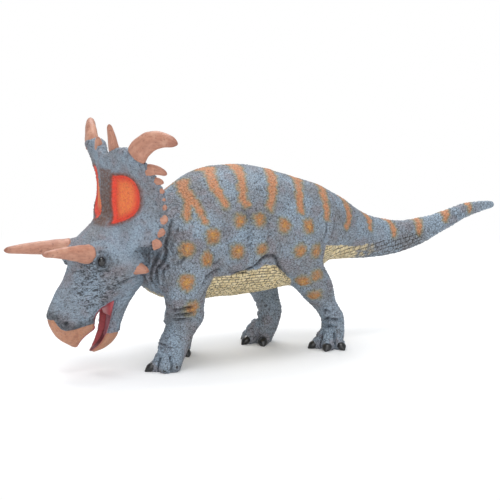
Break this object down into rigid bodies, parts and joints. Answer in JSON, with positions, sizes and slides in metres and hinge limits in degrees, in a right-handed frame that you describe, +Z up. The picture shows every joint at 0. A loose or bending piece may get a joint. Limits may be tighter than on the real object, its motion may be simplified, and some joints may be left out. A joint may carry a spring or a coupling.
{
  "type": "toy dinosaur figure",
  "caption": "Walking horned dinosaur play figure with a spiked neck frill, long brow horns, open beak, stout legs and a raised tail.",
  "frame": {"origin": "middle of the bounding box in plan, on the ground under the soles", "axes": "+X towards the tail end, -X towards the muzzle, +Y to the animal's right side, +Z up"},
  "size_m": [0.1748, 0.0566, 0.0783],
  "materials": {
    "painted_skin": "satin",
    "horn": "satin",
    "jaw_paint": "satin"
  },
  "bodies": {
    "root": {"torso": "painted_skin", "tail": "painted_skin", "head": "painted_skin", "lower_jaw": "jaw_paint", "brow_horn_left": "horn", "brow_horn_right": "horn", "frill_hook_left": "horn", "frill_hook_right": "horn", "frill_spike_left": "horn", "frill_spike_right": "horn", "front_leg_left": "painted_skin", "front_leg_right": "painted_skin", "hind_leg_left": "painted_skin", "hind_leg_right": "painted_skin"}
  },
  "joints": []
}
